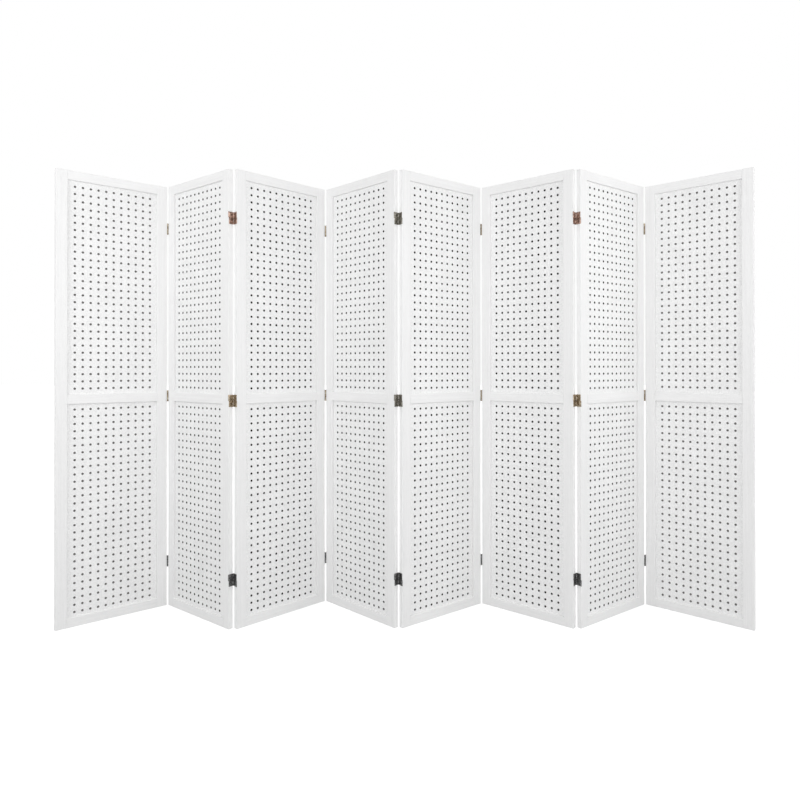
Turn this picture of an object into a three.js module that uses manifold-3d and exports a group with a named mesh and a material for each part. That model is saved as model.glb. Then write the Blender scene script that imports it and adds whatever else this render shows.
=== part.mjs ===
// Accordion folding partition: eight white framed pegboard panels on two-way screen hinges.
// Millimetres, +Z up. The front of the screen faces -Y. The origin is on the floor, under the
// middle of the screen as it stands. Neighbouring panels turn about the hinge pins at a ridge,
// which points to the front, or at a valley, which points to the back.

import * as THREE from 'three';
import { mergeVertices } from 'three/addons/utils/BufferGeometryUtils.js';
import Module from 'manifold-3d';

const wasm = await Module();
wasm.setup();

// ---- Panel sizes ----

const panelWidth = 400;
const panelHeight = 1700;
const frameThickness = 18;
const stileWidth = 39;
const railHeight = 35;
const lowerOpeningHeight = 795;
const boardThickness = 3;
const grooveDepth = 8;
const tongueWidth = 120;

// ---- Hinge sizes ----

const hingeHeight = 45;
const barrelRadius = 1.7;
const pinRadius = 0.7;
const leafThickness = 0.9;

// ---- Hinge heights, from the floor, from half height and from the top ----

const ridgeHinges = { aboveFloor: 180, belowMiddle: 8, belowTop: 181 };
const valleyHinges = { aboveFloor: 179, belowMiddle: 0, belowTop: 171 };

// ---- How the screen stands: each panel's angle in plan, in degrees, left to right ----

const planAngles = [39.7, -37.3, 44.9, -43.1, 38.1, -38.8, 36.9, -40.6];

// ---- Fits, and how many flats stand for the round of a knuckle, a pin or a bore ----

const clearance = 0.3;
const arcSteps = 6;

// ---- Sizes that follow from the ones above ----

const face = frameThickness / 2;
const panelGap = 2 * (barrelRadius + clearance);
const pivotOffset = face + barrelRadius + clearance;
const linkThickness = 2 * (barrelRadius - leafThickness - clearance);
const midRailBottom = railHeight + lowerOpeningHeight;
const midRailTop = midRailBottom + railHeight;

// ---- Finishes ----

const whitePaint = new THREE.MeshStandardMaterial({ color: 0xf1f1f0, roughness: 0.45, metalness: 0 });
const boardPaint = new THREE.MeshStandardMaterial({ color: 0xf3f3f2, roughness: 0.6, metalness: 0 });
const agedBrass = new THREE.MeshStandardMaterial({ color: 0x6b5443, roughness: 0.4, metalness: 0.9 });

// ---- Solids ----

function toSolid(geometry) {
  geometry.deleteAttribute('normal');
  geometry.deleteAttribute('uv');
  const merged = mergeVertices(geometry);
  const vertProperties = new Float32Array(merged.attributes.position.array);
  const triVerts = new Uint32Array(merged.index.array);
  return new wasm.Manifold(new wasm.Mesh({ numProp: 3, vertProperties, triVerts }));
}

function toGeometry(solid) {
  const mesh = solid.getMesh();
  const geometry = new THREE.BufferGeometry();
  geometry.setAttribute('position', new THREE.BufferAttribute(mesh.vertProperties, 3));
  geometry.setIndex(new THREE.BufferAttribute(mesh.triVerts, 1));
  return geometry;
}

// A block from its lowest corner to its highest corner.
function block([x0, y0, z0], [x1, y1, z1]) {
  const geometry = new THREE.BoxGeometry(x1 - x0, y1 - y0, z1 - z0);
  geometry.translate((x0 + x1) / 2, (y0 + y1) / 2, (z0 + z1) / 2);
  return toSolid(geometry);
}

// An upright solid with the given plan.
function prism(plan, z0, z1) {
  const settings = { depth: z1 - z0, bevelEnabled: false, curveSegments: arcSteps / 2 };
  const geometry = new THREE.ExtrudeGeometry(plan, settings);
  geometry.translate(0, 0, z0);
  return toSolid(geometry);
}

// ---- Pegboards: an upper and a lower board, held in the frame's grooves ----

// The two boards seen from the front, with the tongue between them in the mid rail.
// The margin widens them all round, for the grooves that they sit in.
function boardOutline(margin) {
  const left = stileWidth - grooveDepth - margin;
  const right = panelWidth - stileWidth + grooveDepth + margin;
  const bottom = railHeight - grooveDepth - margin;
  const lowerTop = midRailBottom + grooveDepth + margin;
  const upperBottom = midRailTop - grooveDepth - margin;
  const top = panelHeight - railHeight + grooveDepth + margin;
  const tongueLeft = (panelWidth - tongueWidth) / 2 - margin;
  const tongueRight = (panelWidth + tongueWidth) / 2 + margin;
  const shape = new THREE.Shape();
  shape.moveTo(left, bottom);
  shape.lineTo(right, bottom);
  shape.lineTo(right, lowerTop);
  shape.lineTo(tongueRight, lowerTop);
  shape.lineTo(tongueRight, upperBottom);
  shape.lineTo(right, upperBottom);
  shape.lineTo(right, top);
  shape.lineTo(left, top);
  shape.lineTo(left, upperBottom);
  shape.lineTo(tongueLeft, upperBottom);
  shape.lineTo(tongueLeft, lowerTop);
  shape.lineTo(left, lowerTop);
  return shape;
}

function boardPlate(margin) {
  const depth = boardThickness + 2 * margin;
  const geometry = new THREE.ExtrudeGeometry(boardOutline(margin), { depth, bevelEnabled: false });
  geometry.rotateX(Math.PI / 2);
  geometry.translate(0, depth / 2, 0);
  return toSolid(geometry);
}

// ---- Frame: two stiles and three rails, glued, with grooves for the boards ----

function frameSolid() {
  const right = panelWidth - stileWidth;
  const top = panelHeight - railHeight;
  const cutFront = -face - 1;
  const cutBack = face + 1;
  return block([0, -face, 0], [panelWidth, face, panelHeight])
    .subtract(block([stileWidth, cutFront, railHeight], [right, cutBack, midRailBottom]))
    .subtract(block([stileWidth, cutFront, midRailTop], [right, cutBack, top]))
    .subtract(boardPlate(clearance));
}

// ---- Hinge half ----
// A leaf screwed to the end of one panel, with the link that stays with it while the screen
// stands folded. This is the left-hand half of a ridge hinge: the leaf is on the left of the
// gap, the link lies in the upper half, and the hinge turns about the pins behind the screen.
// Its origin is in the middle of the gap, at half the height of the hinge. The plans are seen
// from above, and each knuckle is an arc about the centre of its pin.

const leafLeft = -barrelRadius;
const leafRight = leafThickness - barrelRadius;
const linkRight = linkThickness / 2;
const linkMeetsBarrel = Math.acos(linkRight / barrelRadius);

function leafPlan() {
  const plan = new THREE.Shape();
  plan.moveTo(leafLeft, -face);
  plan.lineTo(leafRight, -face);
  plan.lineTo(leafRight, face);
  plan.lineTo(leafLeft, face);
  return plan;
}

// The leaf and the knuckle behind it.
function leafKnucklePlan() {
  const leafMeetsBarrel = 2 * Math.PI - Math.acos(leafRight / barrelRadius);
  const plan = new THREE.Shape();
  plan.moveTo(leafLeft, -face);
  plan.lineTo(leafRight, -face);
  plan.absarc(0, pivotOffset, barrelRadius, leafMeetsBarrel, 3 * Math.PI, false);
  return plan;
}

// The leaf and the link, pinned to each other by the barrel in front, which is idle here.
function idleBarrelPlan() {
  const plan = new THREE.Shape();
  plan.moveTo(leafLeft, face);
  plan.absarc(0, -pivotOffset, barrelRadius, Math.PI, 2 * Math.PI + linkMeetsBarrel, false);
  plan.lineTo(linkRight, face);
  plan.lineTo(-linkRight, face);
  plan.lineTo(-linkRight, -face);
  plan.lineTo(leafRight, -face);
  plan.lineTo(leafRight, face);
  return plan;
}

// The link's end, with its knuckle bored to turn on the other leaf's pin.
function linkKnucklePlan() {
  const boreRadius = (pinRadius + clearance) / Math.cos(Math.PI / arcSteps);
  const plan = new THREE.Shape();
  plan.moveTo(-linkRight, 0);
  plan.lineTo(linkRight, 0);
  plan.absarc(0, pivotOffset, barrelRadius, -linkMeetsBarrel, Math.PI + linkMeetsBarrel, false);
  const bore = new THREE.Path();
  bore.absarc(0, pivotOffset, boreRadius, 0, 2 * Math.PI, true);
  plan.holes.push(bore);
  return plan;
}

function pinSolid(z0, z1) {
  const geometry = new THREE.CylinderGeometry(pinRadius, pinRadius, z1 - z0, arcSteps);
  geometry.rotateX(Math.PI / 2);
  geometry.translate(0, pivotOffset, (z0 + z1) / 2);
  return toSolid(geometry);
}

function hingeHalfSolid() {
  const top = hingeHeight / 2;
  const split = clearance / 2;
  const knuckle = (top - split - 2 * clearance) / 3;
  const linkKnuckleBottom = split + knuckle + clearance;
  return prism(leafPlan(), -top, top)
    .add(prism(idleBarrelPlan(), split, top))
    .add(prism(leafKnucklePlan(), -top, knuckle - top))
    .add(prism(leafKnucklePlan(), -split - knuckle, -split))
    .add(pinSolid(-top, -split))
    .add(prism(linkKnucklePlan(), linkKnuckleBottom, linkKnuckleBottom + knuckle));
}

// ---- The screen ----

const frameGeometry = toGeometry(frameSolid());
const boardGeometry = toGeometry(boardPlate(0));
const hingeGeometry = toGeometry(hingeHalfSolid());

function addMesh(parent, name, geometry, material) {
  const mesh = new THREE.Mesh(geometry, material);
  mesh.name = name;
  parent.add(mesh);
  return mesh;
}

// The first joint, between panels 1 and 2, is a valley, and then they take turns.
function isRidge(joint) {
  return joint % 2 === 0;
}

function hingeLevels(joint) {
  const rule = isRidge(joint) ? ridgeHinges : valleyHinges;
  return {
    bottom: rule.aboveFloor,
    middle: panelHeight / 2 - rule.belowMiddle,
    top: panelHeight - rule.belowTop,
  };
}

// One side of the three hinges of a joint. A right-hand half is turned over about Y, and a
// valley's halves are turned over about X, which brings their pins to the front.
function addHingeHalves(panel, joint, side) {
  const levels = hingeLevels(joint);
  for (const [level, height] of Object.entries(levels)) {
    const name = `hinge_${joint}_${joint + 1}_${level}_${side}_half`;
    const half = addMesh(panel, name, hingeGeometry, agedBrass);
    half.position.x = side === 'left' ? panelWidth + panelGap / 2 : -panelGap / 2;
    half.position.z = height;
    half.rotation.y = side === 'right' ? Math.PI : 0;
    half.rotation.x = isRidge(joint) ? 0 : Math.PI;
  }
}

function makePanel(number) {
  const panel = new THREE.Group();
  addMesh(panel, `panel_${number}_frame`, frameGeometry, whitePaint);
  addMesh(panel, `panel_${number}_pegboards`, boardGeometry, boardPaint);
  if (number > 1) {
    addHingeHalves(panel, number - 1, 'right');
  }
  if (number < planAngles.length) {
    addHingeHalves(panel, number, 'left');
  }
  return panel;
}

// The pivot line of a joint, in plan, as the panel on one side of it sees it.
function pivotInPanel(joint, side) {
  const along = side === 'left' ? panelWidth + panelGap / 2 : -panelGap / 2;
  const across = isRidge(joint) ? pivotOffset : -pivotOffset;
  return new THREE.Vector3(along, across, 0);
}

const up = new THREE.Vector3(0, 0, 1);
const screen = new THREE.Group();
const pivot = new THREE.Vector3();
planAngles.forEach((degrees, index) => {
  const panel = makePanel(index + 1);
  const angle = THREE.MathUtils.degToRad(degrees);
  panel.rotation.z = angle;
  if (index > 0) {
    panel.position.copy(pivot).sub(pivotInPanel(index, 'right').applyAxisAngle(up, angle));
  }
  if (index < planAngles.length - 1) {
    pivot.copy(panel.position).add(pivotInPanel(index + 1, 'left').applyAxisAngle(up, angle));
  }
  screen.add(panel);
});

// Stand it on the floor, with the middle of its box over the origin.
const box = new THREE.Box3().setFromObject(screen, true);
const middle = box.getCenter(new THREE.Vector3());
screen.position.set(-middle.x, -middle.y, -box.min.z);

export default screen;
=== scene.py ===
"""Accordion folding partition: eight white framed pegboard panels on two-way screen hinges.

The screen stands in a zigzag on the floor, its front to -Y. Everything is in metres, in the
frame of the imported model: each panel is dressed where its solid stands, and rides on its body.
"""
import math
import random

import bmesh
import bpy
from mathutils import Matrix, Vector


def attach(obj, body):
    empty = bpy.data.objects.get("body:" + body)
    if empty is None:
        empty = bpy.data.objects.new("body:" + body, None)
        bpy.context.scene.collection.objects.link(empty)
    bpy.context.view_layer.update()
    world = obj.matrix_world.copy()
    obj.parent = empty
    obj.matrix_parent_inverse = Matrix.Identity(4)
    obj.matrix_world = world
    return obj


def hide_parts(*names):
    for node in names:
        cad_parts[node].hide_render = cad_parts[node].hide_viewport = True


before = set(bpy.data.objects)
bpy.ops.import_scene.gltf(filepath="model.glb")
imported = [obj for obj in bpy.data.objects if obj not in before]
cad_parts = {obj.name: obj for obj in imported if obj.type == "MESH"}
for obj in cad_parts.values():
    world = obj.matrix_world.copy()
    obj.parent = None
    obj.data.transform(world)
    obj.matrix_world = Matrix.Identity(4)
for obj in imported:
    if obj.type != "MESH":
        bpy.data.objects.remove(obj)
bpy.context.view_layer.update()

mm = 0.001


# ---- Camera ----
# The camera stands two and a half metres in front of the screen, just above half its height.
# It looks level and straight on, and the frame is shifted a little to hold the whole screen.

camera_data = bpy.data.cameras.new("camera")
camera_data.sensor_width = 36
camera_data.lens = 28.38
camera_data.shift_x = -0.0218
camera_data.shift_y = -0.0449
camera = bpy.data.objects.new("camera", camera_data)
camera.location = (0.0482, -2.4686, 0.9682)
camera.rotation_euler = (math.radians(90.23), math.radians(0.04), math.radians(0.02))
bpy.context.scene.collection.objects.link(camera)
bpy.context.scene.camera = camera
bpy.context.scene.view_settings.view_transform = "Standard"


# ---- Studio ----
# A pale floor that runs out to a white surround. Most of the soft lights in front are at the
# height of the upper boards, so that the panels darken towards the floor and the recesses keep
# faint shadows. Two more fill from high at the sides, and two light the back.

def linear(hex_colour):
    """An sRGB hex colour as the linear colour that a socket takes."""
    channels = [int(hex_colour[i:i + 2], 16) / 255 for i in (1, 3, 5)]
    light = [c / 12.92 if c <= 0.04045 else ((c + 0.055) / 1.055) ** 2.4 for c in channels]
    return (*light, 1.0)


def add_node(tree, kind, inputs=None, **settings):
    """Adds a node. Each input is a value for its socket, or a socket to link it from."""
    made = tree.nodes.new(kind)
    for name, value in settings.items():
        setattr(made, name, value)
    for name, value in (inputs or {}).items():
        if isinstance(value, bpy.types.NodeSocket):
            tree.links.new(value, made.inputs[name])
        else:
            made.inputs[name].default_value = value
    return made


def empty_tree(owner):
    """The owner's node tree, cleared."""
    owner.use_nodes = True
    owner.node_tree.nodes.clear()
    return owner.node_tree


def seen_directly(tree):
    """1 where a camera, mirror or glass ray meets the surround, and 0 for the light it gives."""
    rays = add_node(tree, "ShaderNodeLightPath").outputs
    mirror = add_node(tree, "ShaderNodeMath", {0: rays["Is Camera Ray"], 1: rays["Is Glossy Ray"]})
    return add_node(tree, "ShaderNodeMath", {0: mirror.outputs[0], 1: rays["Is Transmission Ray"]},
                    use_clamp=True).outputs[0]


world = bpy.data.worlds.new("white_surround")
bpy.context.scene.world = world
tree = empty_tree(world)
surround_light = 0.535
shown = add_node(tree, "ShaderNodeBackground", {"Color": (1, 1, 1, 1), "Strength": 1.0})
given = add_node(tree, "ShaderNodeBackground", {"Color": (1, 1, 1, 1), "Strength": surround_light})
mixed = add_node(tree, "ShaderNodeMixShader", {
    0: seen_directly(tree), 1: given.outputs[0], 2: shown.outputs[0]})
add_node(tree, "ShaderNodeOutputWorld", {"Surface": mixed.outputs[0]})

# The floor is pale matt card. It glows for the camera only, just enough to reach white, and a
# little more where it runs out of the lamps' reach, so that it meets the surround without an
# edge. The light it throws back stays soft, and the screen's own shadow is still there.
floor_size = 60
near_glow, far_glow = 0.6, 0.85
lamps_reach, floor_fades = 2.5, 9.0
bm = bmesh.new()
bmesh.ops.create_grid(bm, x_segments=1, y_segments=1, size=floor_size / 2)
floor_mesh = bpy.data.meshes.new("floor")
bm.to_mesh(floor_mesh)
bm.free()
card = bpy.data.materials.new("pale_matt_card")
tree = empty_tree(card)
matt = add_node(tree, "ShaderNodeBsdfDiffuse", {"Color": linear("#cacaca")})
spot = add_node(tree, "ShaderNodeTexCoord").outputs["Object"]
distance = add_node(tree, "ShaderNodeVectorMath", {0: spot}, operation="LENGTH").outputs["Value"]
level = add_node(tree, "ShaderNodeMapRange", {
    "Value": distance, "From Min": lamps_reach, "From Max": floor_fades,
    "To Min": near_glow, "To Max": far_glow})
shown = add_node(tree, "ShaderNodeMath", {
    0: seen_directly(tree), 1: level.outputs[0]}, operation="MULTIPLY")
glow = add_node(tree, "ShaderNodeEmission", {"Color": (1, 1, 1, 1), "Strength": shown.outputs[0]})
both = add_node(tree, "ShaderNodeAddShader", {0: matt.outputs[0], 1: glow.outputs[0]})
add_node(tree, "ShaderNodeOutputMaterial", {"Surface": both.outputs[0]})
floor_mesh.materials.append(card)
floor = bpy.data.objects.new("floor", floor_mesh)
bpy.context.scene.collection.objects.link(floor)


def add_lamp(name, location, target, size, power):
    """A soft square light that looks at its target."""
    lamp_data = bpy.data.lights.new(name, "AREA")
    lamp_data.shape = "RECTANGLE"
    lamp_data.size, lamp_data.size_y = size
    lamp_data.energy = power
    lamp = bpy.data.objects.new(name, lamp_data)
    lamp.location = location
    lamp.rotation_euler = (Vector(target) - Vector(location)).to_track_quat("-Z", "Y").to_euler()
    lamp.visible_camera = False
    bpy.context.scene.collection.objects.link(lamp)


screen_middle = (0, 0, 1.1)
small, tall, square, large = (0.9, 0.7), (1.2, 1.6), (1.2, 1.2), (1.6, 1.6)
add_lamp("near_left_light", (-1.8, -1.7, 1.8), (-0.9, 0, 1.2), small, 8.9)
add_lamp("middle_light", (-0.6, -2.4, 2.0), (-0.3, 0, 1.2), small, 6.2)
add_lamp("near_right_light", (1.8, -1.7, 1.8), (0.9, 0, 1.2), small, 6.2)
add_lamp("low_light", (0, -2.7, 1.0), screen_middle, small, 8.8)
add_lamp("right_light", (2.4, -3.0, 1.8), screen_middle, tall, 6.8)
add_lamp("side_light", (3.4, -1.2, 1.8), screen_middle, square, 13.5)
add_lamp("high_left_light", (-3.0, -2.8, 3.2), screen_middle, large, 15.4)
add_lamp("high_right_light", (3.0, -2.8, 3.2), screen_middle, large, 12.2)
add_lamp("back_left_light", (-2.8, 3.2, 2.6), screen_middle, large, 50)
add_lamp("back_right_light", (2.8, 3.2, 2.6), screen_middle, large, 50)


# ---- Where each panel stands ----
# A panel's own axes start on the floor at the left end of its mid-plane: x runs along it and
# its front faces -y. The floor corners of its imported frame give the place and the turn.

def panel_place(number):
    """The matrix that takes a panel's own axes to where it stands."""
    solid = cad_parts[f"panel_{number}_frame"].data
    corners = {tuple(round(c, 6) for c in v.co) for v in solid.vertices}
    lowest = min(z for _, _, z in corners)
    feet = [Vector(corner) for corner in sorted(corners) if corner[2] - lowest < mm]
    left, right = (feet[0] + feet[1]) / 2, (feet[-2] + feet[-1]) / 2
    turn = math.atan2(right.y - left.y, right.x - left.x)
    return Matrix.Translation(left) @ Matrix.Rotation(turn, 4, "Z")


def levels(node_name, place, axis):
    """The places of a node's corners along one axis of its panel, lowest first, to 0.1 mm."""
    to_panel = place.inverted()
    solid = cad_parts[node_name].data
    return sorted({round((to_panel @ v.co)[axis], 4) for v in solid.vertices})


panel_numbers = range(1, 1 + sum(name.endswith("_frame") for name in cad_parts))
places = {number: panel_place(number) for number in panel_numbers}
frame_x, frame_y, frame_z = (levels("panel_1_frame", places[1], axis) for axis in range(3))
board_x, board_y, board_z = (levels("panel_1_pegboards", places[1], axis) for axis in range(3))
panel_width, panel_height = frame_x[-1], frame_z[-1]
panel_thickness = frame_y[-1] - frame_y[0]


def new_piece(name, mesh, place, *materials):
    """A piece with its place in its mesh, and its object at the origin."""
    mesh = mesh.copy()
    mesh.name = name
    mesh.transform(place)
    for material in materials:
        mesh.materials.append(material)
    piece = bpy.data.objects.new(name, mesh)
    bpy.context.scene.collection.objects.link(piece)
    return piece


# ---- Stiles ----
# The upright sides of each panel: planed softwood, grooved on the inner edge for the boards,
# its corners eased with sandpaper, then sprayed white. The grain runs up the stile.

stile_width = frame_x[2] - frame_x[0]
groove_depth = frame_x[2] - frame_x[1]
groove_width = frame_y[2] - frame_y[1]
arris = 0.7 * mm
touching = 0.001 * mm


def grooved_bar(length, width, grooves):
    """A bar with x along it, y across it from one edge and z through it, grooved in its edges."""
    half, slot, depth = panel_thickness / 2, groove_width / 2, groove_depth
    section = [(0, -half), (width, -half)]
    if "far" in grooves:
        section += [(width, -slot), (width - depth, -slot), (width - depth, slot), (width, slot)]
    section += [(width, half), (0, half)]
    if "near" in grooves:
        section += [(0, slot), (depth, slot), (depth, -slot), (0, -slot)]
    bm = bmesh.new()
    end = bm.faces.new([bm.verts.new((0, y, z)) for y, z in section])
    grown = bmesh.ops.extrude_face_region(bm, geom=[end])["geom"]
    far_end = [g for g in grown if isinstance(g, bmesh.types.BMVert)]
    bmesh.ops.translate(bm, vec=(length, 0, 0), verts=far_end)
    bmesh.ops.recalc_face_normals(bm, faces=bm.faces[:])
    return bm


def ease(bm, edges, size):
    """Rounds these edges."""
    bmesh.ops.bevel(bm, geom=edges, offset=size, offset_type="OFFSET", segments=3, profile=0.5,
                    affect="EDGES", material=-1, clamp_overlap=True)


def on_box_edge(edge, length, width):
    """Whether an edge of a bar lies on two of the outer faces of its block."""
    middle = (edge.verts[0].co + edge.verts[1].co) / 2
    outer = (middle.x in (0, length), min(middle.y, width - middle.y) < touching,
             abs(abs(middle.z) - panel_thickness / 2) < touching)
    return sum(outer) == 2


def timber_mesh(bm):
    """The bar as a mesh that keeps, at each point, the place in the timber that it was cut from."""
    mesh = bpy.data.meshes.new("timber")
    bm.to_mesh(mesh)
    bm.free()
    grain = mesh.attributes.new("grain", "FLOAT_VECTOR", "POINT")
    for vertex, value in zip(mesh.vertices, grain.data):
        value.vector = vertex.co
    return mesh


bm = grooved_bar(panel_height, stile_width, ("far",))
ease(bm, [e for e in bm.edges if on_box_edge(e, panel_height, stile_width)], arris)
stile_mesh = timber_mesh(bm)

# White lacquer sprayed on planed paulownia: a soft sheen over a film so thin that the growth
# rings show as faint grey streaks along the bar, and the open pores as fine furrows.
ring_length, ring_width = 260 * mm, 5 * mm
# Real pores are half as wide: these are as coarse as the picture needs to show them.
pore_length, pore_width = 26 * mm, 1.1 * mm
lacquer = bpy.data.materials.new("white_lacquer_on_paulownia")
tree = empty_tree(lacquer)
timber = add_node(tree, "ShaderNodeAttribute", attribute_name="grain").outputs["Vector"]
ring_place = add_node(tree, "ShaderNodeVectorMath", {
    0: timber, 1: (1 / ring_length, 1 / ring_width, 1 / ring_width)}, operation="MULTIPLY")
rings = add_node(tree, "ShaderNodeTexNoise", {
    "Vector": ring_place.outputs[0], "Scale": 1.0, "Detail": 2.0, "Distortion": 0.6})
pore_place = add_node(tree, "ShaderNodeVectorMath", {
    0: timber, 1: (1 / pore_length, 1 / pore_width, 1 / pore_width)}, operation="MULTIPLY")
pores = add_node(tree, "ShaderNodeTexNoise", {
    "Vector": pore_place.outputs[0], "Scale": 1.0, "Detail": 3.0, "Roughness": 0.6})
streak = add_node(tree, "ShaderNodeMapRange", {
    "Value": rings.outputs["Fac"], "From Min": 0.36, "From Max": 0.64})
ring_colour = add_node(tree, "ShaderNodeMix", {
    0: streak.outputs[0], 6: linear("#f4f4f4"), 7: linear("#f0f0f0")}, data_type="RGBA")
open_pore = add_node(tree, "ShaderNodeMapRange", {
    "Value": pores.outputs["Fac"], "From Min": 0.56, "From Max": 0.72})
colour = add_node(tree, "ShaderNodeMix", {
    0: open_pore.outputs[0], 6: ring_colour.outputs[2], 7: linear("#e8e8e8")}, data_type="RGBA")
sheen = add_node(tree, "ShaderNodeMapRange", {
    "Value": pores.outputs["Fac"], "From Min": 0.3, "From Max": 0.7, "To Min": 0.36, "To Max": 0.5})
sunk_pore = add_node(tree, "ShaderNodeMath", {0: 1.0, 1: open_pore.outputs[0]}, operation="SUBTRACT")
furrows = add_node(tree, "ShaderNodeBump", {
    "Height": sunk_pore.outputs[0], "Strength": 0.4, "Distance": 0.06 * mm})
film = add_node(tree, "ShaderNodeBsdfPrincipled", {
    "Base Color": colour.outputs[2], "Roughness": sheen.outputs[0], "Normal": furrows.outputs[0],
    "IOR": 1.5})
add_node(tree, "ShaderNodeOutputMaterial", {"Surface": film.outputs[0]})

timber_stock = random.Random(11)
stock_size = 3


def cut_from_stock(mesh):
    """A copy of the bar whose grain is cut from another place in the timber."""
    mesh = mesh.copy()
    shift = Vector([timber_stock.uniform(0, stock_size) for _ in range(3)])
    for value in mesh.attributes["grain"].data:
        value.vector = Vector(value.vector) + shift
    return mesh


# From a bar's axes to its panel's. The left stile's outer edge is at x = 0. The right stile is
# turned half round, which brings its outer edge to the panel's other end.
left_upright = Matrix(((0, 1, 0, 0), (0, 0, 1, 0), (1, 0, 0, 0), (0, 0, 0, 1)))
half_round = Matrix.Translation((panel_width, 0, 0)) @ Matrix.Rotation(math.pi, 4, "Z")
right_upright = half_round @ left_upright
for number, place in places.items():
    for side, upright in (("left", left_upright), ("right", right_upright)):
        name = f"panel_{number}_{side}_stile"
        stile = new_piece(name, cut_from_stock(stile_mesh), place @ upright, lacquer)
        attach(stile, f"panel_{number}")
        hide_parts(f"panel_{number}_frame")


# ---- Rails ----
# The cross bars of each panel, from the same timber, glued between the stiles with a short
# tongue at each end in the stile's groove. The grain runs along the rail. The top and bottom
# rails are grooved on their inner edge, the middle rail on both.

rail_height = frame_z[2] - frame_z[0]
middle_rail_bottom = frame_z[3]
glue_line = 0.08 * mm
rail_length = panel_width - 2 * stile_width - 2 * glue_line
end_play, side_play = 0.3 * mm, 0.4 * mm
tongue_length = groove_depth - end_play
tongue_thickness = groove_width - side_play


def bisect(bm, point, normal, faces=None):
    """Cuts every face that the plane crosses, or only those of the given ones."""
    faces = faces or bm.faces[:]
    edges = list(dict.fromkeys(edge for face in faces for edge in face.edges))
    verts = list(dict.fromkeys(vertex for edge in edges for vertex in edge.verts))
    bmesh.ops.bisect_plane(bm, geom=verts + edges + faces, plane_co=point, plane_no=normal)


def push_out(bm, faces, distance):
    """Moves each face along its normal, with new walls behind it, and gives the moved faces."""
    moved = bmesh.ops.extrude_discrete_faces(bm, faces=faces)["faces"]
    for face in moved:
        step = face.normal * distance
        bmesh.ops.translate(bm, vec=step, verts=face.verts[:])
    return moved


def rail_mesh(grooves):
    """A rail with a tongue at each end, grooved in these edges."""
    bm = grooved_bar(rail_length, rail_height, grooves)
    long_edges = [e for e in bm.edges if on_box_edge(e, rail_length, rail_height)
                  and abs(e.verts[0].co.x - e.verts[1].co.x) > rail_length / 2]
    ease(bm, long_edges, arris)
    for side in (-1, 1):
        bisect(bm, (0, 0, side * tongue_thickness / 2), (0, 0, 1))
    ends = [f for f in bm.faces if abs(f.normal.x) > 0.9
            and abs(f.calc_center_median().z) < tongue_thickness / 4]
    push_out(bm, ends, tongue_length)
    return timber_mesh(bm)


end_rail_mesh = rail_mesh(("far",))
middle_rail_mesh = rail_mesh(("near", "far"))
level_bar = Matrix(((1, 0, 0, 0), (0, 0, -1, 0), (0, 1, 0, 0), (0, 0, 0, 1)))
rail_start = stile_width + glue_line
turned_over = Matrix.Translation((panel_width, 0, panel_height)) @ Matrix.Rotation(math.pi, 4, "Y")
rails = {
    "bottom": (end_rail_mesh, Matrix.Translation((rail_start, 0, 0)) @ level_bar),
    "middle": (middle_rail_mesh, Matrix.Translation((rail_start, 0, middle_rail_bottom)) @ level_bar),
    "top": (end_rail_mesh, turned_over @ Matrix.Translation((rail_start, 0, 0)) @ level_bar),
}
for number, place in places.items():
    for level, (mesh, lying) in rails.items():
        rail = new_piece(f"panel_{number}_{level}_rail", cut_from_stock(mesh), place @ lying, lacquer)
        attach(rail, f"panel_{number}")
        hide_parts(f"panel_{number}_frame")


# ---- Pegboards ----
# Two 3 mm hardboards a panel, held in the frame's grooves, punched with 11 by 29 peg holes
# and coated white. The holes read dark from both sides, as real ones do before an unlit
# space: each is closed half way through by a thin dark web, which is painted shade.

peg_pitch = 27 * mm
peg_columns, peg_rows = 11, 29
peg_diameter = 8.8 * mm
hole_sides = 12
web_thickness = 0.3 * mm
lower_first_row, upper_first_row = 52.5 * mm, 886.5 * mm
lower_bottom, lower_top, upper_bottom, upper_top = board_z
board_left, board_right = board_x[0], board_x[-1]
board_thickness = board_y[-1] - board_y[0]
boards = {
    "lower": (lower_bottom, lower_top, lower_first_row),
    "upper": (upper_bottom, upper_top, upper_first_row),
}


def round_faces(bm, faces, radius):
    """Turns each four-sided face into a round one, in the middle of where it was."""
    middles = [face.calc_center_median() for face in faces]
    sideways = [(face.verts[1].co - face.verts[0].co).normalized() for face in faces]
    nearest = min((v.co - middle).length for face, middle in zip(faces, middles) for v in face.verts)
    margin = nearest / math.sqrt(2) - radius
    bmesh.ops.inset_individual(bm, faces=faces, thickness=margin, use_even_offset=True)
    sides = [edge for face in faces for edge in face.edges]
    bmesh.ops.subdivide_edges(bm, edges=sides, cuts=hole_sides // 4 - 1)
    step = math.radians(360 / hole_sides)
    for face, middle, across in zip(faces, middles, sideways):
        up = face.normal.cross(across)
        for vertex in face.verts:
            arm = vertex.co - middle
            angle = math.atan2(arm.dot(up), arm.dot(across))
            angle = (round(angle / step - 0.5) + 0.5) * step
            vertex.co = middle + radius * (across * math.cos(angle) + up * math.sin(angle))


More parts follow.
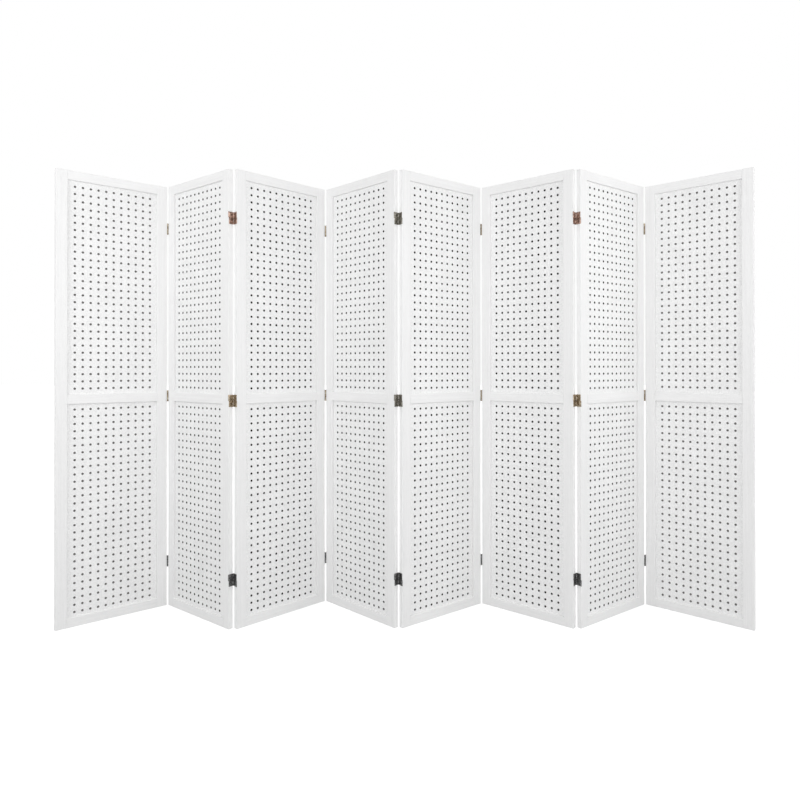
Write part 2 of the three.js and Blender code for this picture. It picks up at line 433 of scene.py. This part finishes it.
def board_mesh(bottom, top, first_row):
    """A punched board, in its panel's axes."""
    size = Vector((board_right - board_left, board_thickness, top - bottom))
    middle = Vector(((board_left + board_right) / 2, 0, (bottom + top) / 2))
    field_left = (panel_width - peg_columns * peg_pitch) / 2
    field_bottom = first_row - peg_pitch / 2
    bm = bmesh.new()
    bmesh.ops.create_cube(bm, size=1, matrix=Matrix.LocRotScale(middle, None, size))
    for column in range(peg_columns + 1):
        bisect(bm, (field_left + column * peg_pitch, 0, 0), (1, 0, 0))
    for row in range(peg_rows + 1):
        bisect(bm, (0, 0, field_bottom + row * peg_pitch), (0, 0, 1))
    field_right = field_left + peg_columns * peg_pitch
    field_top = field_bottom + peg_rows * peg_pitch
    cells = []
    for face in bm.faces:
        at = face.calc_center_median()
        in_field = field_left < at.x < field_right and field_bottom < at.z < field_top
        if abs(face.normal.y) > 0.9 and in_field:
            cells.append(face)
    round_faces(bm, cells, peg_diameter / 2)
    # Slot 1, the web, and slot 2, its wall, take the colours of painted shade.
    for web in push_out(bm, cells, (web_thickness - board_thickness) / 2):
        for wall in {wall for edge in web.edges for wall in edge.link_faces}:
            wall.material_index = 2
        web.material_index = 1
    mesh = bpy.data.meshes.new("pegboard")
    bm.to_mesh(mesh)
    bm.free()
    return mesh


# Factory-coated hardboard: a flat white film with a fine stipple from the roller, and very
# faint clouds. The real stipple is under a millimetre: this is as coarse as the picture needs.
stipple_size, cloud_size = 5.5 * mm, 90 * mm
cloud_share = 0.2
coating = bpy.data.materials.new("white_coated_hardboard")
tree = empty_tree(coating)
spot = add_node(tree, "ShaderNodeTexCoord").outputs["Object"]
stipple = add_node(tree, "ShaderNodeTexNoise", {
    "Vector": spot, "Scale": 1 / stipple_size, "Detail": 2.0, "Roughness": 0.6})
cloud = add_node(tree, "ShaderNodeTexNoise", {
    "Vector": spot, "Scale": 1 / cloud_size, "Detail": 1.0})
mottle = add_node(tree, "ShaderNodeMath", {
    0: cloud.outputs["Fac"], 1: cloud_share, 2: stipple.outputs["Fac"]},
    operation="MULTIPLY_ADD")
amount = add_node(tree, "ShaderNodeMapRange", {
    "Value": mottle.outputs[0], "From Min": 0.45, "From Max": 0.75})
colour = add_node(tree, "ShaderNodeMix", {
    0: amount.outputs[0], 6: linear("#f8f8f8"), 7: linear("#ebebeb")}, data_type="RGBA")
sheen = add_node(tree, "ShaderNodeMapRange", {
    "Value": stipple.outputs["Fac"], "From Min": 0.3, "From Max": 0.7, "To Min": 0.5, "To Max": 0.62})
bumps = add_node(tree, "ShaderNodeBump", {
    "Height": stipple.outputs["Fac"], "Strength": 0.25, "Distance": 0.1 * mm})
film = add_node(tree, "ShaderNodeBsdfPrincipled", {
    "Base Color": colour.outputs[2], "Roughness": sheen.outputs[0], "Normal": bumps.outputs[0],
    "IOR": 1.5})
add_node(tree, "ShaderNodeOutputMaterial", {"Surface": film.outputs[0]})


tone_size = 0.8 * mm


def hole_shade_material(name, light, dark):
    """A matt colour with a fine uneven tone, for the painted shade and light in the holes."""
    material = bpy.data.materials.new(name)
    tree = empty_tree(material)
    spot = add_node(tree, "ShaderNodeTexCoord").outputs["Object"]
    tone_noise = add_node(tree, "ShaderNodeTexNoise", {
        "Vector": spot, "Scale": 1 / tone_size, "Detail": 2.0})
    colour = add_node(tree, "ShaderNodeMix", {
        0: tone_noise.outputs["Fac"], 6: linear(light), 7: linear(dark)}, data_type="RGBA")
    dull_surface = add_node(tree, "ShaderNodeBsdfPrincipled", {
        "Base Color": colour.outputs[2], "Roughness": 0.9, "Specular IOR Level": 0.2})
    add_node(tree, "ShaderNodeOutputMaterial", {"Surface": dull_surface.outputs[0]})
    return material


# The web's dark grey is painted shade. The wall of a punched hole is bare brown fibre, drawn
# near black as painted shade too. The two end panels have nothing but light behind them, so
# their webs are a paler grey: painted light, given panel by panel.
painted_shade_web = hole_shade_material("painted_shade_hole_web", "#333130", "#262524")
end_panel_painted_light_web = hole_shade_material("painted_light_hole_web", "#787674", "#646261")
wall_fibre_and_shade = hole_shade_material("hole_wall_fibre_and_painted_shade", "#1d1a18", "#12100f")

for level, (bottom, top, first_row) in boards.items():
    mesh = board_mesh(bottom, top, first_row)
    for number, place in places.items():
        # The end panels' webs are a paler grey, painted light given panel by panel.
        web = end_panel_painted_light_web if number in (panel_numbers[0], panel_numbers[-1]) else painted_shade_web
        board = new_piece(f"panel_{number}_{level}_board", mesh, place, coating, web, wall_fibre_and_shade)
        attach(board, f"panel_{number}")
        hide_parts(f"panel_{number}_pegboards")


# ---- Hinge leaves ----
# A leaf is a plate of brass screwed to the end of a panel, its strips rolled into knuckles:
# in front at the top for the idle barrel, at the back at the foot for the working one. It is
# drawn as on the left of a ridge. A right-hand half is turned over about y, a valley's about x.

hinge_halves = sorted(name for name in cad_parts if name.startswith("hinge_"))


def half_facts(half):
    """The panel that a hinge half is screwed to, and its matrix from the drawing to the room."""
    _, left, right, _, side, _ = half.split("_")
    number = int(left if side == "left" else right)
    place = places[number]
    reach = [levels(half, place, axis) for axis in range(3)]
    centre = Vector([(along[0] + along[-1]) / 2 for along in reach])
    turn = Matrix.Identity(4)
    if side == "right":
        turn = Matrix.Rotation(math.pi, 4, "Y")
    if int(left) % 2 == 1:
        turn = Matrix.Rotation(math.pi, 4, "X") @ turn
    return number, place @ Matrix.Translation(centre) @ turn


first_half = hinge_halves[0]
first_panel, _ = half_facts(first_half)
half_reach = [levels(first_half, places[first_panel], axis) for axis in range(3)]
barrel_radius = (half_reach[0][-1] - half_reach[0][0]) / 2
barrel_offset = (half_reach[1][-1] - half_reach[1][0]) / 2 - barrel_radius
hinge_top = (half_reach[2][-1] - half_reach[2][0]) / 2
running_gap = 0.3 * mm
plate_gauge = 0.9 * mm
leaf_half_width = panel_thickness / 2
leaf_middle = plate_gauge / 2 - barrel_radius
roll_radius = barrel_radius - plate_gauge / 2
split = running_gap / 2
knuckle = (hinge_top - split - 2 * running_gap) / 3
screw_height = split + 1.5 * knuckle + running_gap
screw_cell = 4 * mm
screw_radius = 2.6 * mm
screw_clearance = 0.1 * mm
leaf_roll = math.radians(280)
roll_steps = 14
broken_edge = 0.14 * mm
least_broken_angle, least_sharp_angle = math.radians(40), math.radians(35)


def upright_sheet(x, reach_y, bottom, top):
    """A flat sheet across the hinge, which faces +x."""
    bm = bmesh.new()
    corners = ((x, -reach_y, bottom), (x, reach_y, bottom), (x, reach_y, top), (x, -reach_y, top))
    bm.faces.new([bm.verts.new(corner) for corner in corners])
    return bm


def edge_at(bm, y, bottom, top):
    """The sheet's outer edge at y between these heights."""
    for edge in bm.edges:
        a, b = (v.co for v in edge.verts)
        on_line = abs(a.y - y) < touching and abs(b.y - y) < touching
        if on_line and bottom < (a.z + b.z) / 2 < top:
            return edge


def roll_knuckle(bm, edge, start, axis_y, sweep):
    """Draws the edge out to the start of the roll, and rolls it round the pin's axis."""
    drawn = bmesh.ops.extrude_edge_only(bm, edges=[edge])["geom"]
    for vertex in (g for g in drawn if isinstance(g, bmesh.types.BMVert)):
        vertex.co.x, vertex.co.y = start
    rolled = [g for g in drawn if isinstance(g, bmesh.types.BMEdge)
              and all(abs(v.co.y - start[1]) < touching for v in g.verts)]
    bmesh.ops.spin(bm, geom=rolled, cent=(0, axis_y, 0), axis=(0, 0, 1), dvec=(0, 0, 0),
                   angle=sweep, steps=roll_steps, use_merge=False, use_normal_flip=False,
                   use_duplicate=False)


def punch(bm, middle_z, radius):
    """Punches a round hole in the middle of the sheet at this height."""
    cell = [f for f in bm.faces if abs(f.calc_center_median().y) < screw_cell / 2
            and abs(f.calc_center_median().z - middle_z) < mm and abs(f.normal.x) > 0.9]
    round_faces(bm, cell, radius)
    bmesh.ops.delete(bm, geom=cell, context="FACES")


def smooth_rounds(mesh):
    """Shades a mesh smooth, apart from its sharp corners."""
    mesh.polygons.foreach_set("use_smooth", [True] * len(mesh.polygons))
    mesh.set_sharp_from_angle(angle=least_sharp_angle)


def plate_mesh(bm):
    """The sheet given its gauge, with its cut edges broken."""
    bmesh.ops.recalc_face_normals(bm, faces=bm.faces[:])
    mesh = bpy.data.meshes.new("plate")
    bm.to_mesh(mesh)
    bm.free()
    blank = bpy.data.objects.new("plate", mesh)
    bpy.context.scene.collection.objects.link(blank)
    gauge = blank.modifiers.new("gauge", "SOLIDIFY")
    gauge.thickness = plate_gauge
    gauge.offset = 0
    gauge.use_even_offset = True
    broken = blank.modifiers.new("broken_edges", "BEVEL")
    broken.width = broken_edge
    broken.segments = 2
    broken.angle_limit = least_broken_angle
    shaped = blank.evaluated_get(bpy.context.evaluated_depsgraph_get())
    plate = bpy.data.meshes.new_from_object(shaped)
    bpy.data.objects.remove(blank)
    smooth_rounds(plate)
    return plate


leaf_bm = upright_sheet(leaf_middle, leaf_half_width, -hinge_top, hinge_top)
for height in (split, split + knuckle, hinge_top - knuckle):
    bisect(leaf_bm, (0, 0, height), (0, 0, 1))
    bisect(leaf_bm, (0, 0, -height), (0, 0, 1))
for side in (-1, 1):
    bisect(leaf_bm, (0, side * screw_cell, 0), (0, 1, 0))
for low, high in ((split, split + knuckle), (hinge_top - knuckle, hinge_top)):
    front_edge = edge_at(leaf_bm, -leaf_half_width, low, high)
    roll_knuckle(leaf_bm, front_edge, (leaf_middle, -barrel_offset), -barrel_offset, leaf_roll)
    back_edge = edge_at(leaf_bm, leaf_half_width, -high, -low)
    roll_knuckle(leaf_bm, back_edge, (leaf_middle, barrel_offset), barrel_offset, -leaf_roll)
for height in (-screw_height, screw_height):
    punch(leaf_bm, height, screw_radius + screw_clearance)
leaf_mesh = plate_mesh(leaf_bm)


# Real specks of tarnish are half as large: these are as coarse as the picture needs.
blotch_size, speck_size = 7 * mm, 3.6 * mm


def patina(name, tints, roughness):
    """Brass under a broken tarnish: blotches of the given tints, the darkest in small spots."""
    material = bpy.data.materials.new(name)
    tree = empty_tree(material)
    spot = add_node(tree, "ShaderNodeTexCoord").outputs["Object"]
    blotches = add_node(tree, "ShaderNodeTexNoise", {
        "Vector": spot, "Scale": 1 / blotch_size, "Detail": 2.0, "Distortion": 0.8})
    specks = add_node(tree, "ShaderNodeTexNoise", {
        "Vector": spot, "Scale": 1 / speck_size, "Detail": 1.0})
    worn = add_node(tree, "ShaderNodeMapRange", {
        "Value": blotches.outputs["Fac"], "From Min": 0.42, "From Max": 0.62})
    dark = add_node(tree, "ShaderNodeMapRange", {
        "Value": specks.outputs["Fac"], "From Min": 0.48, "From Max": 0.72})
    ground = add_node(tree, "ShaderNodeMix", {
        0: worn.outputs[0], 6: linear(tints[0]), 7: linear(tints[1])}, data_type="RGBA")
    colour = add_node(tree, "ShaderNodeMix", {
        0: dark.outputs[0], 6: ground.outputs[2], 7: linear(tints[2])}, data_type="RGBA")
    rough = add_node(tree, "ShaderNodeMapRange", {
        "Value": specks.outputs["Fac"], "From Min": 0.35, "From Max": 0.65,
        "To Min": roughness - 0.08, "To Max": roughness + 0.12})
    pits = add_node(tree, "ShaderNodeBump", {
        "Height": blotches.outputs["Fac"], "Strength": 0.3, "Distance": 0.15 * mm})
    metal = add_node(tree, "ShaderNodeBsdfPrincipled", {
        "Base Color": colour.outputs[2], "Roughness": rough.outputs[0], "Metallic": 0.95,
        "Normal": pits.outputs[0]})
    add_node(tree, "ShaderNodeOutputMaterial", {"Surface": metal.outputs[0]})
    return material


# The same tarnished brass takes one colour or another with its place. Copper red, old gold or
# olive on the upper hinges are painted reflections, and near black on the lowest is painted
# shade. Each is blotched and spotted darker by the tarnish.
copper_painted_reflection_patina = patina("copper_red_painted_reflection_patina", ("#c0a497", "#857064", "#3c3330"), 0.38)
gold_painted_reflection_patina = patina("old_gold_painted_reflection_patina", ("#bfb29c", "#877560", "#3c352e"), 0.38)
olive_painted_reflection_patina = patina("olive_bronze_painted_reflection_patina", ("#9d9990", "#73716a", "#464442"), 0.42)
painted_shade_patina = patina("patina_darkened_as_painted_shade", ("#818181", "#5a5a5a", "#343434"), 0.42)
# The upper hinges' colours are painted reflections, set hinge by hinge.
hinge_patinas_and_light = {
    "2_3_top": copper_painted_reflection_patina, "2_3_middle": gold_painted_reflection_patina,
    "4_5_top": olive_painted_reflection_patina, "4_5_middle": olive_painted_reflection_patina,
    "6_7_top": copper_painted_reflection_patina, "6_7_middle": gold_painted_reflection_patina,
}


def half_patina_and_light(half):
    """The colour of this half's hinge: its tarnish, with the painted reflection or shade of its
    place.
    """
    _, left, right, level, _, _ = half.split("_")
    # The lowest hinges are darkened near black, as painted shade.
    if level == "bottom":
        return painted_shade_patina
    return hinge_patinas_and_light.get(f"{left}_{right}_{level}", gold_painted_reflection_patina)


for half in hinge_halves:
    number, place = half_facts(half)
    leaf = new_piece(half.replace("_half", "_leaf"), leaf_mesh, place, half_patina_and_light(half))
    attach(leaf, f"panel_{number}")
    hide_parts(half)


# ---- Hinge links ----
# A link is the plate between the two leaves, rolled at both ends: it hangs on its own leaf's
# idle barrel and turns on the other leaf's pin. A hole lets a driver reach the screw behind.

link_inset = 0.1 * mm
link_end = leaf_half_width - link_inset
driver_hole_radius = 3.1 * mm
roll_start, link_roll = math.radians(-60), math.radians(270)
middle_low, middle_high = split + knuckle + running_gap, hinge_top - knuckle - running_gap
link_bm = upright_sheet(0, link_end, split, hinge_top)
for height in (middle_low, middle_high):
    bisect(link_bm, (0, 0, height), (0, 0, 1))
for side in (-1, 1):
    bisect(link_bm, (0, side * screw_cell, 0), (0, 1, 0))
for side in (-1, 1):
    edge = edge_at(link_bm, side * link_end, middle_low, middle_high)
    start = (side * roll_radius * math.cos(roll_start),
             side * (barrel_offset + roll_radius * math.sin(roll_start)))
    roll_knuckle(link_bm, edge, start, side * barrel_offset, link_roll)
punch(link_bm, screw_height, driver_hole_radius)
link_mesh = plate_mesh(link_bm)
for half in hinge_halves:
    number, place = half_facts(half)
    link = new_piece(half.replace("_half", "_link"), link_mesh, place, half_patina_and_light(half))
    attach(link, f"panel_{number}")
    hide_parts(half)


# ---- Hinge pins ----
# Brass wire, tarnished with the rest, cut flush with the barrels and rounded at the ends. Each
# half has the pin of its idle barrel and the pin of its working one.

pin_radius = 0.7 * mm
pin_inset = 0.1 * mm
pin_rounding = 0.25 * mm
turned_sides = 16
pins_bm = bmesh.new()
pin_length = hinge_top - split - 2 * pin_inset
for side in (-1, 1):
    middle = Vector((0, side * barrel_offset, -side * (split + hinge_top) / 2))
    bmesh.ops.create_cone(pins_bm, cap_ends=True, segments=turned_sides, radius1=pin_radius,
                          radius2=pin_radius, depth=pin_length, matrix=Matrix.Translation(middle))
rims = [e for e in pins_bm.edges if abs(e.verts[0].co.z - e.verts[1].co.z) < touching]
bmesh.ops.bevel(pins_bm, geom=rims, offset=pin_rounding, offset_type="OFFSET", segments=2,
                profile=0.5, affect="EDGES", material=-1, clamp_overlap=True)


def round_metal(bm, name):
    """A turned piece's mesh: smooth round its sides, sharp at its corners."""
    mesh = bpy.data.meshes.new(name)
    bm.to_mesh(mesh)
    bm.free()
    smooth_rounds(mesh)
    return mesh


pins_mesh = round_metal(pins_bm, "pins")
for half in hinge_halves:
    number, place = half_facts(half)
    pins = new_piece(half.replace("_half", "_pins"), pins_mesh, place, half_patina_and_light(half))
    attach(pins, f"panel_{number}")
    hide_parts(half)


# ---- Hinge screws ----
# Two countersunk cross-head wood screws hold each leaf. Only the head is made: the shank is
# out of sight in the stile.

cross_arm = 0.35 * mm
cross_reach = 1.5 * mm
cross_depth = 0.5 * mm
screw_neck = 0.62 * screw_radius
screws_bm = bmesh.new()
for height in (-screw_height, screw_height):
    middle = Matrix.Translation((leaf_middle, 0, height)) @ Matrix.Rotation(math.pi / 2, 4, "Y")
    bmesh.ops.create_cone(screws_bm, cap_ends=True, segments=turned_sides, radius1=screw_neck,
                          radius2=screw_radius, depth=plate_gauge, matrix=middle)


def head_faces():
    """The faces of the screws' heads that a driver meets."""
    return [face for face in screws_bm.faces if face.normal.x > 0.9]


for side in (-1, 1):
    for reach in (cross_arm, cross_reach):
        bisect(screws_bm, (0, side * reach, 0), (0, 1, 0), head_faces())
        for height in (-screw_height, screw_height):
            bisect(screws_bm, (0, 0, height + side * reach), (0, 0, 1), head_faces())
crosses = []
for face in head_faces():
    at = face.calc_center_median()
    across, up = abs(at.y), abs(abs(at.z) - screw_height)
    if max(across, up) < cross_reach and min(across, up) < cross_arm:
        crosses.append(face)
sunk = bmesh.ops.extrude_face_region(screws_bm, geom=crosses)["geom"]
bmesh.ops.translate(screws_bm, vec=(-cross_depth, 0, 0),
                    verts=[g for g in sunk if isinstance(g, bmesh.types.BMVert)])
bmesh.ops.delete(screws_bm, geom=crosses, context="FACES")
screws_mesh = round_metal(screws_bm, "screws")
for half in hinge_halves:
    number, place = half_facts(half)
    screws = new_piece(half.replace("_half", "_screws"), screws_mesh, place, half_patina_and_light(half))
    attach(screws, f"panel_{number}")
    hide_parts(half)
